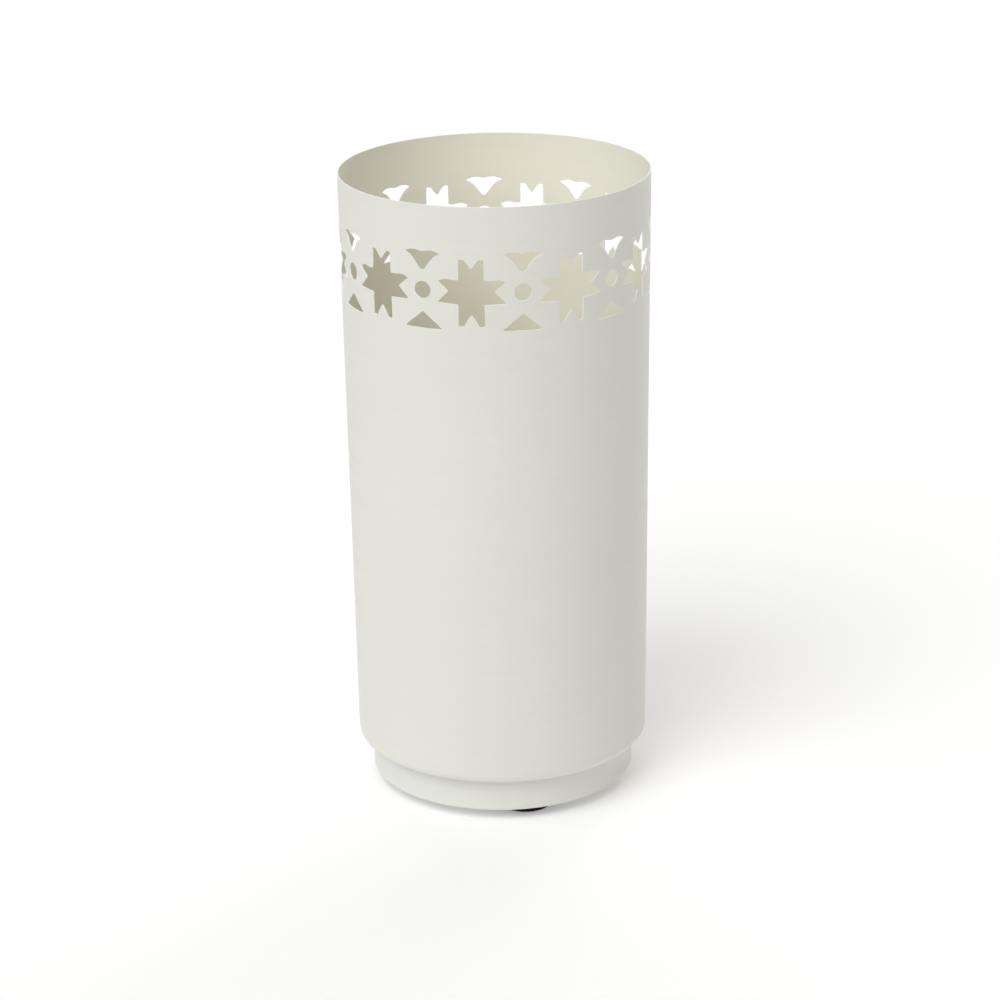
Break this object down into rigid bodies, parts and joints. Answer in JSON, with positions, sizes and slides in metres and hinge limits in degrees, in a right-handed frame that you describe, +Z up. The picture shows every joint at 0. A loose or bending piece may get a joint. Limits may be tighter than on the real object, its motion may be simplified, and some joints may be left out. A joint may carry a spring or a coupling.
{
  "type": "umbrella stand",
  "caption": "Round free-standing umbrella stand in painted sheet steel, with a pierced star band below the open rim, a stepped base on rubber feet and a lift-out drip tray.",
  "frame": {"origin": "on the floor plane, on the stand's axis, at the middle of the bounding box's bottom", "axes": "+Z up along the stand's axis, -Y is the front, +X is the front's right-hand side"},
  "size_m": [0.24, 0.2398, 0.5],
  "materials": {
    "shell_paint": "satin",
    "pan_paint": "satin",
    "tray_paint": "satin",
    "foot_rubber": "matte",
    "zinc_steel": "zinc plated"
  },
  "bodies": {
    "stand": {"body_shell": "shell_paint", "base_pan": "pan_paint", "foot_1": "foot_rubber", "foot_2": "foot_rubber", "foot_3": "foot_rubber", "foot_4": "foot_rubber", "foot_screws": "zinc_steel", "foot_washers": "zinc_steel", "foot_nuts": "zinc_steel"},
    "tray": {"drip_tray": "tray_paint"}
  },
  "joints": [
    {"name": "tray_lift", "type": "slide", "parent": "stand", "child": "tray", "axis": [0, 0, 1], "range_m": [0, 0.52]}
  ]
}
